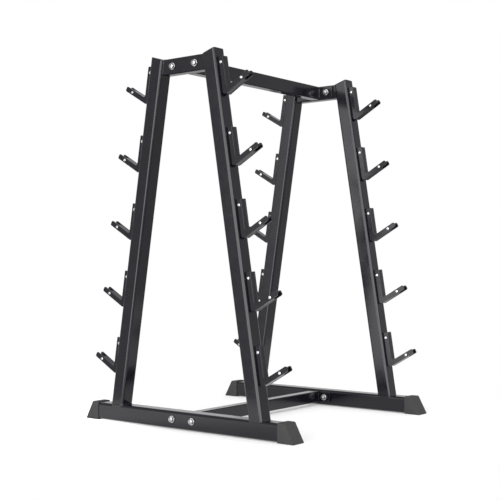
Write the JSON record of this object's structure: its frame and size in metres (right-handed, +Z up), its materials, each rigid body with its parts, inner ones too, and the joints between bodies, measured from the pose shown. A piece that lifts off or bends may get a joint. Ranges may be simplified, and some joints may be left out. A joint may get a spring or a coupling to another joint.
{
  "type": "barbell storage rack",
  "caption": "Free-standing rack for fixed barbells: two leaning-legged end frames of black square tube joined by beams, with rising V hooks up each leg.",
  "frame": {"origin": "on the floor, under the middle of the rack", "axes": "+X across the rack to the right seen from the front, +Y along the beams to the rear frame, +Z up"},
  "size_m": [1.019, 0.9526, 1.4033],
  "materials": {
    "black_paint": "semi-gloss powder coat",
    "hook_paint": "semi-gloss powder coat",
    "black_plastic": "satin",
    "black_rubber": "matte",
    "zinc_steel": "bright zinc plate"
  },
  "bodies": {
    "root": {"base_tube_front": "black_paint", "base_tube_rear": "black_paint", "foot_front_left": "black_rubber", "foot_front_right": "black_rubber", "foot_rear_left": "black_rubber", "foot_rear_right": "black_rubber", "hook_front_left_1": "hook_paint", "hook_front_left_2": "hook_paint", "hook_front_left_3": "hook_paint", "hook_front_left_4": "hook_paint", "hook_front_left_5": "hook_paint", "hook_front_right_1": "hook_paint", "hook_front_right_2": "hook_paint", "hook_front_right_3": "hook_paint", "hook_front_right_4": "hook_paint", "hook_front_right_5": "hook_paint", "hook_rear_left_1": "hook_paint", "hook_rear_left_2": "hook_paint", "hook_rear_left_3": "hook_paint", "hook_rear_left_4": "hook_paint", "hook_rear_left_5": "hook_paint", "hook_rear_right_1": "hook_paint", "hook_rear_right_2": "hook_paint", "hook_rear_right_3": "hook_paint", "hook_rear_right_4": "hook_paint", "hook_rear_right_5": "hook_paint", "leg_cap_front_left": "black_plastic", "leg_cap_front_right": "black_plastic", "leg_cap_rear_left": "black_plastic", "leg_cap_rear_right": "black_plastic", "leg_front_left": "black_paint", "leg_front_right": "black_paint", "leg_rear_left": "black_paint", "leg_rear_right": "black_paint", "lower_beam": "black_paint", "lower_beam_plate_front": "black_paint", "lower_beam_plate_rear": "black_paint", "lower_bolt_front_left": "zinc_steel", "lower_bolt_front_right": "zinc_steel", "lower_bolt_rear_left": "zinc_steel", "lower_bolt_rear_right": "zinc_steel", "lower_nut_front_left": "zinc_steel", "lower_nut_front_right": "zinc_steel", "lower_nut_rear_left": "zinc_steel", "lower_nut_rear_right": "zinc_steel", "top_tie_front": "black_paint", "top_tie_rear": "black_paint", "upper_beam": "black_paint", "upper_beam_plate_front": "black_paint", "upper_beam_plate_rear": "black_paint", "upper_bolt_front_left": "zinc_steel", "upper_bolt_front_right": "zinc_steel", "upper_bolt_rear_left": "zinc_steel", "upper_bolt_rear_right": "zinc_steel", "upper_nut_front_left": "zinc_steel", "upper_nut_front_right": "zinc_steel", "upper_nut_rear_left": "zinc_steel", "upper_nut_rear_right": "zinc_steel"}
  },
  "joints": []
}
